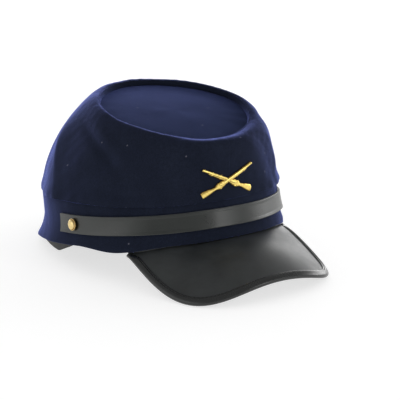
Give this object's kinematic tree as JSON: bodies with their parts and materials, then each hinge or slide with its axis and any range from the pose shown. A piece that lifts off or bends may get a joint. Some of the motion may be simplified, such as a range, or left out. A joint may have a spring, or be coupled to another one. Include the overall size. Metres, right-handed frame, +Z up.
{
  "type": "kepi cap",
  "caption": "Navy cloth kepi with a forward-tipped crown, sunk oval top, stiff black peak, black chin strap on brass buttons and a crossed-rifles badge.",
  "frame": {"origin": "middle of the cap's footprint, on the surface that it rests on", "axes": "+Z up with the cap at rest on its peak's corners and the back of its rim, -Y towards the tip of the peak, -X the wearer's right"},
  "size_m": [0.1852, 0.2676, 0.1266],
  "materials": {
    "navy_cloth": "matte navy wool-blend cloth with a faint sheen",
    "black_leather": "smooth semi-gloss black leather",
    "brass": "polished yellow brass"
  },
  "bodies": {
    "root": {"crown": "navy_cloth", "top_disc": "navy_cloth", "band": "navy_cloth", "sweatband": "black_leather", "peak": "black_leather", "peak_binding": "black_leather", "chin_strap": "black_leather", "strap_button_right": "brass", "strap_button_left": "brass", "badge": "brass"}
  },
  "joints": []
}
